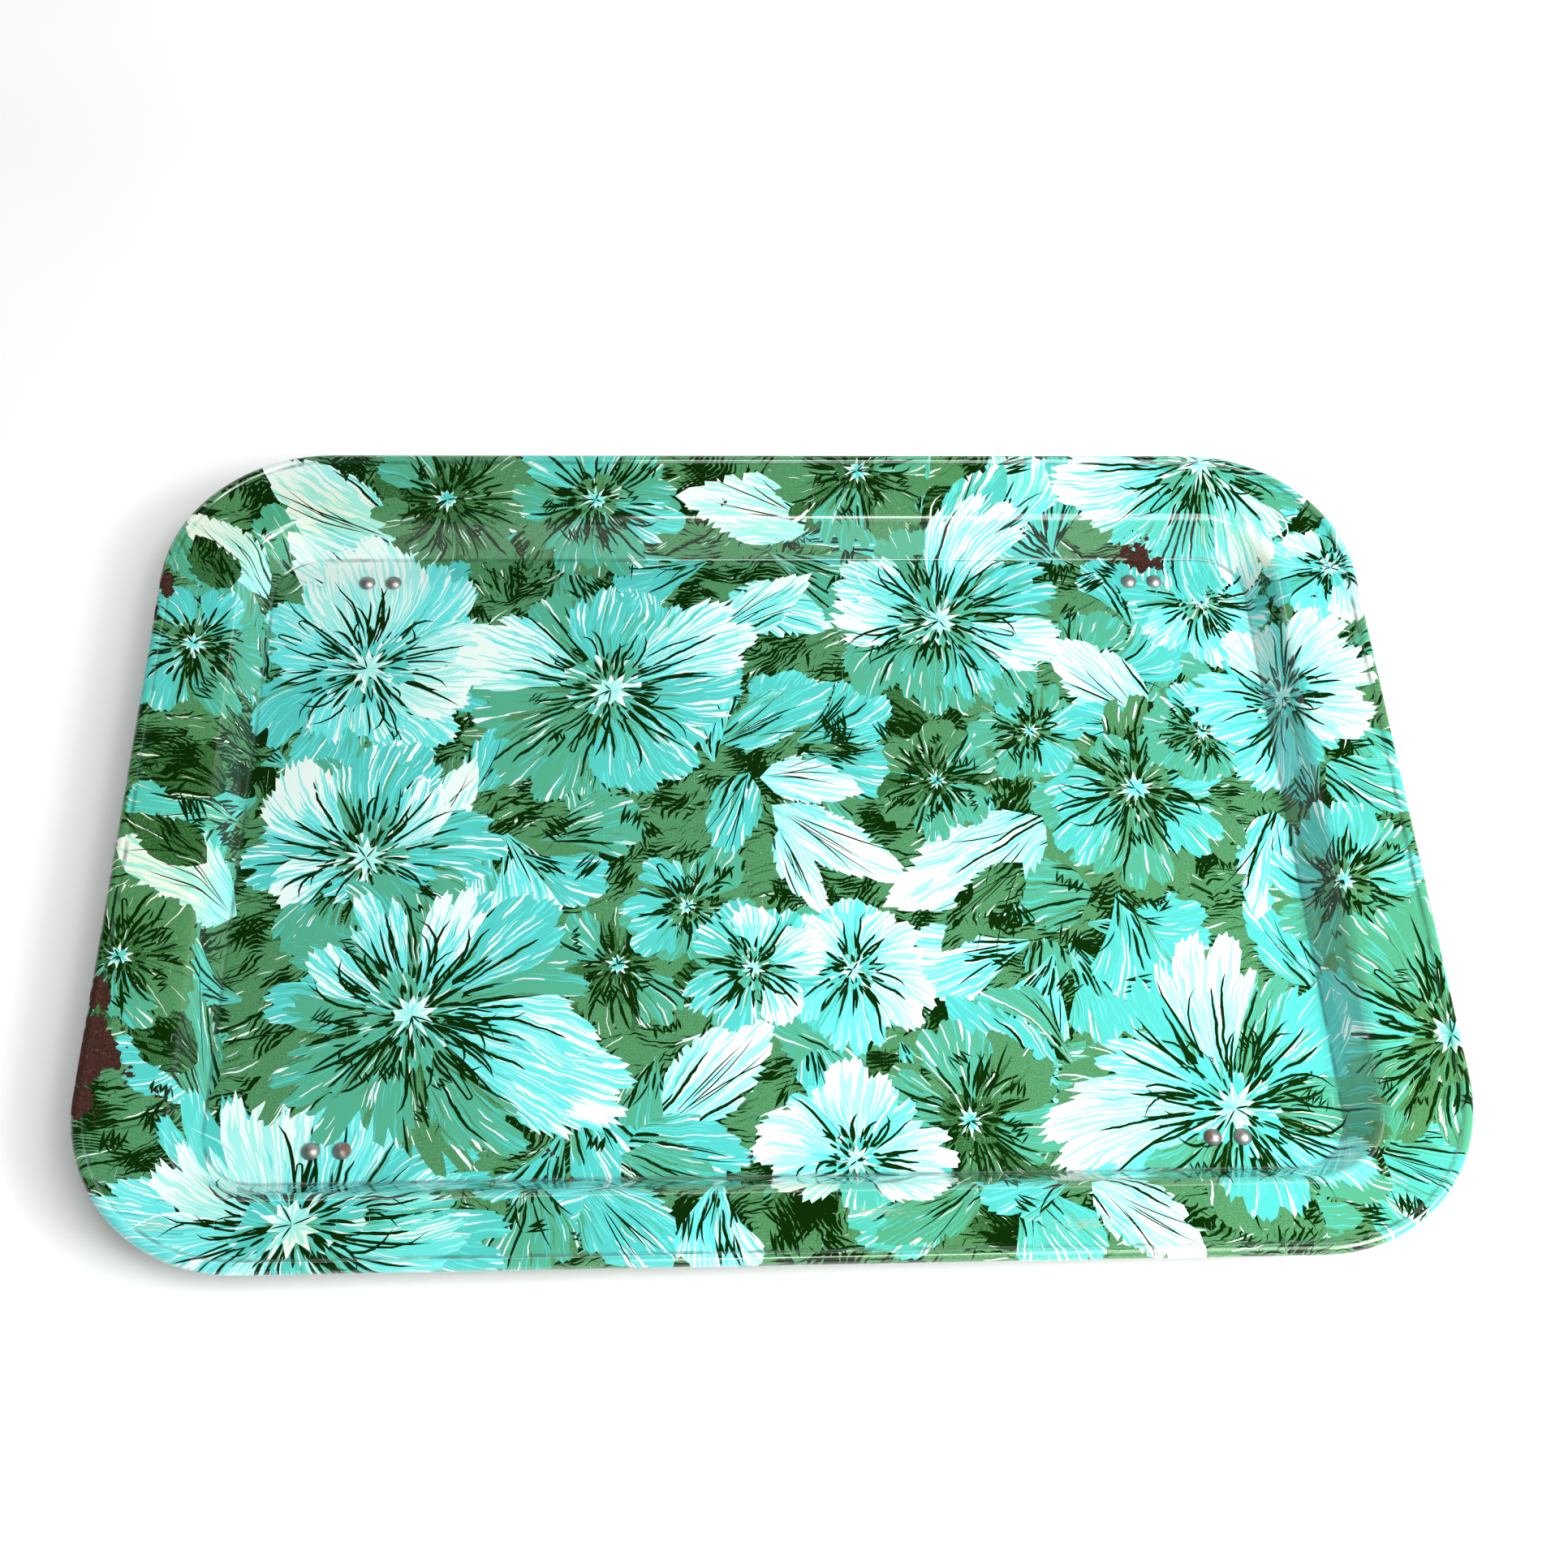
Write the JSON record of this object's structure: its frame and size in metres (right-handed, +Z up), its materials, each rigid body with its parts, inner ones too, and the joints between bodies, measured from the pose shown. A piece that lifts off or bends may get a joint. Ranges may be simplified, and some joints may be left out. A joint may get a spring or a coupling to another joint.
{
  "type": "lap tray",
  "caption": "Rounded rectangular pressed steel lap tray with a rolled rim and folding wire legs riveted under its well.",
  "frame": {"origin": "middle of the folded tray, on the surface it stands on", "axes": "+X along the tray towards its right end, +Y from the front edge to the back edge, +Z up"},
  "size_m": [0.4444, 0.3174, 0.0273],
  "materials": {
    "printed_steel": "turquoise and green lithographed floral print under gloss lacquer, worn at the rim",
    "plated_steel": "dulled zinc plating",
    "rivet_steel": "bright domed heads, some rusted"
  },
  "bodies": {
    "tray": {"tray_pan": "printed_steel", "clip_front_left": "plated_steel", "clip_front_right": "plated_steel", "clip_back_left": "plated_steel", "clip_back_right": "plated_steel", "rivet_front_left_outer": "rivet_steel", "rivet_front_left_inner": "rivet_steel", "rivet_front_right_inner": "rivet_steel", "rivet_front_right_outer": "rivet_steel", "rivet_back_left_outer": "rivet_steel", "rivet_back_left_inner": "rivet_steel", "rivet_back_right_inner": "rivet_steel", "rivet_back_right_outer": "rivet_steel"},
    "left_leg": {"leg_left": "plated_steel"},
    "right_leg": {"leg_right": "plated_steel"}
  },
  "joints": [
    {"name": "left_leg_fold", "type": "hinge", "parent": "tray", "child": "left_leg", "pos_m": [-0.146, 0, 0.0028], "axis": [0, 1, 0], "range_deg": [0, 95]},
    {"name": "right_leg_fold", "type": "hinge", "parent": "tray", "child": "right_leg", "pos_m": [0.146, 0, 0.0028], "axis": [0, -1, 0], "range_deg": [0, 95]}
  ]
}
